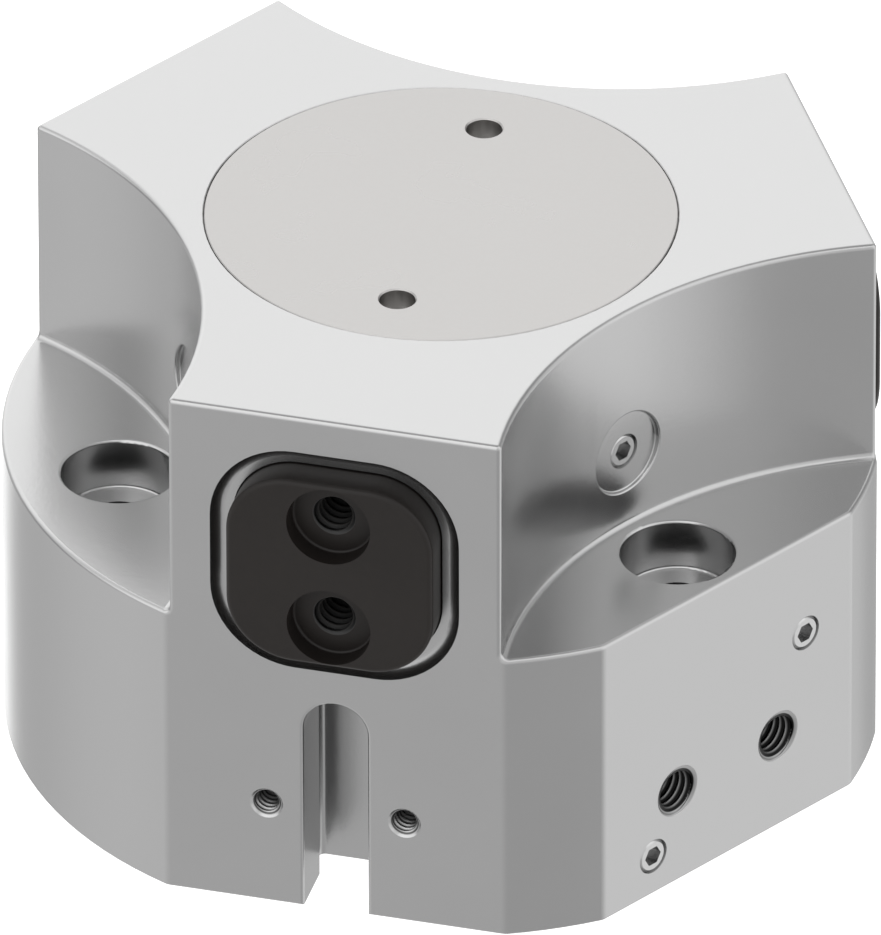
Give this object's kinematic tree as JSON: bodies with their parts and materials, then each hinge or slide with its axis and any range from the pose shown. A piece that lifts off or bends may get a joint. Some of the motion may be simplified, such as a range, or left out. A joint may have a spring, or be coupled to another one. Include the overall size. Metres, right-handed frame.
{
  "type": "three-jaw gripper",
  "caption": "Round pneumatic centric gripper with base jaws that slide radially, a flush cap, scooped pockets with screw holes, air ports and sensor slots.",
  "frame": {"origin": "centre of the flat underside, on the axis of the body and of the mounting hole circle", "axes": "+Z along the body axis towards the cap; the front jaw slides along Y and faces -Y; the right jaw faces azimuth 30 degrees and the left jaw 150 degrees; the port flat faces azimuth -30 degrees"},
  "size_m": [0.093, 0.0916, 0.0607],
  "materials": {
    "housing_aluminium": "satin anodised",
    "cap_aluminium": "satin anodised",
    "cover_aluminium": "turned",
    "piston_aluminium": "turned",
    "seal_rubber": "matte",
    "bush_bronze": "turned",
    "spring_steel": "phosphated",
    "guide_plastic": "matte",
    "magnet_ferrite": "matte",
    "driver_steel": "ground",
    "screw_steel": "zinc plated",
    "jaw_steel": "dark satin, hardened"
  },
  "bodies": {
    "root": {"housing": "housing_aluminium", "top_cap": "cap_aluminium", "cap_seal": "seal_rubber", "rod_bush": "bush_bronze", "rod_seal": "seal_rubber", "base_cover": "cover_aluminium", "base_cover_seal": "seal_rubber", "base_bumper": "seal_rubber", "base_retaining_ring": "spring_steel", "channel_plug_screws": "screw_steel", "pocket_plug_screws": "screw_steel"},
    "piston": {"piston": "piston_aluminium", "piston_seal": "seal_rubber", "piston_guide_ring": "guide_plastic", "magnet_ring": "magnet_ferrite", "wedge_driver": "driver_steel", "driver_washer": "screw_steel", "driver_screw": "screw_steel"},
    "jaw_front": {"base_jaw_front": "jaw_steel"},
    "jaw_right": {"base_jaw_right": "jaw_steel"},
    "jaw_left": {"base_jaw_left": "jaw_steel"}
  },
  "joints": [
    {"name": "piston_slide", "type": "slide", "parent": "root", "child": "piston", "axis": [0, 0, 1], "range_m": [-0.01, 0]},
    {"name": "jaw_front_slide", "type": "slide", "parent": "root", "child": "jaw_front", "axis": [0, -1, 0], "range_m": [-0.006, 0]},
    {"name": "jaw_right_slide", "type": "slide", "parent": "root", "child": "jaw_right", "axis": [0.866, 0.5, 0], "range_m": [-0.006, 0]},
    {"name": "jaw_left_slide", "type": "slide", "parent": "root", "child": "jaw_left", "axis": [-0.866, 0.5, 0], "range_m": [-0.006, 0]}
  ],
  "couplings": [
    {"joint": "jaw_front_slide", "follows": "piston_slide", "ratio": 0.6},
    {"joint": "jaw_right_slide", "follows": "piston_slide", "ratio": 0.6},
    {"joint": "jaw_left_slide", "follows": "piston_slide", "ratio": 0.6}
  ]
}
